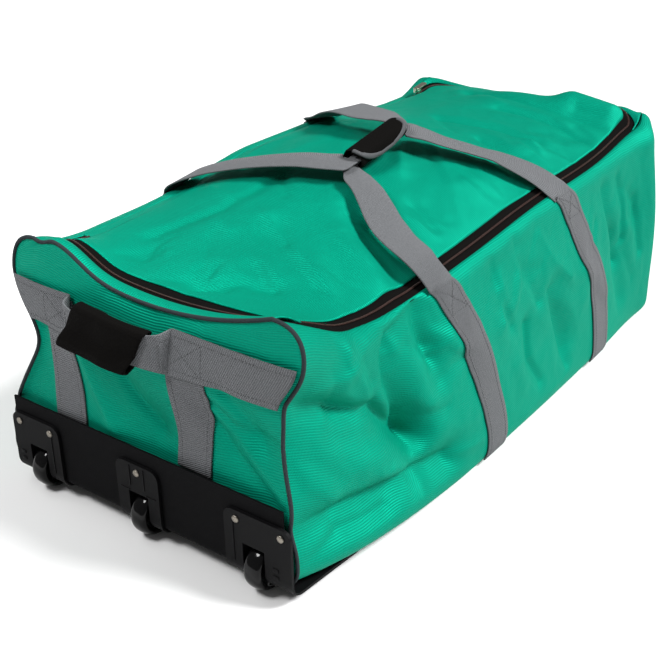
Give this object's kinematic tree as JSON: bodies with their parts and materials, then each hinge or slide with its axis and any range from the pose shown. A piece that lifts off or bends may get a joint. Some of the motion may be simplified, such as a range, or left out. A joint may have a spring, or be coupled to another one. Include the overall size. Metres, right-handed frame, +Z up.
{
  "type": "wheeled sports holdall",
  "caption": "Soft sports holdall with a zipped lid, webbing carry handles gathered by a padded wrap, an end grab handle and small wheels set in a moulded end guard.",
  "frame": {"origin": "on the floor under the middle of the bag's bounding box", "axes": "+X along the length from the wheel end to the far end, +Y towards the lid's hinge side, +Z up"},
  "size_m": [0.9652, 0.5048, 0.3958],
  "materials": {
    "cloth_green": "ribbed coated polyester with a satin sheen",
    "webbing_grey": "twill-woven polypropylene webbing",
    "padding_black": "soft brushed knit over foam",
    "zip_black": "woven zip tape with a nylon coil",
    "piping_charcoal": "woven tape over a cord",
    "guard_black": "matte grained sheet",
    "housing_black": "satin moulded",
    "wheel_black": "glossy moulded",
    "steel": "plated",
    "zip_metal": "antique plated"
  },
  "bodies": {
    "root": {"side_right": "cloth_green", "side_left": "cloth_green", "base_panel": "cloth_green", "lid_panel": "cloth_green", "lid_hinge": "cloth_green", "border_wheel": "cloth_green", "border_far": "cloth_green", "end_panel_wheel": "cloth_green", "end_panel_far": "cloth_green", "zip_tape": "zip_black", "zip_slider": "zip_metal", "zip_pull": "zip_metal", "piping_wheel": "piping_charcoal", "piping_far": "piping_charcoal", "handle_right": "webbing_grey", "handle_left": "webbing_grey", "wrap_pad": "padding_black", "wrap_binding": "webbing_grey", "grab_band": "webbing_grey", "grab_grip": "padding_black", "end_web_right": "webbing_grey", "end_web_left": "webbing_grey", "end_guard": "guard_black", "housing_right": "housing_black", "housing_middle": "housing_black", "housing_left": "housing_black", "axle_right": "steel", "axle_middle": "steel", "axle_left": "steel", "rivet_1": "steel", "rivet_2": "steel", "rivet_3": "steel", "rivet_4": "steel", "rivet_5": "steel"},
    "wheel_right": {"wheel_right": "wheel_black"},
    "wheel_middle": {"wheel_middle": "wheel_black"},
    "wheel_left": {"wheel_left": "wheel_black"}
  },
  "joints": [
    {"name": "wheel_right_spin", "type": "hinge", "parent": "root", "child": "wheel_right", "pos_m": [-0.43708, -0.16994, 0.029], "axis": [0, 1, 0], "continuous": true},
    {"name": "wheel_middle_spin", "type": "hinge", "parent": "root", "child": "wheel_middle", "pos_m": [-0.43708, 0.00006, 0.029], "axis": [0, 1, 0], "continuous": true},
    {"name": "wheel_left_spin", "type": "hinge", "parent": "root", "child": "wheel_left", "pos_m": [-0.43708, 0.17006, 0.029], "axis": [0, 1, 0], "continuous": true}
  ]
}
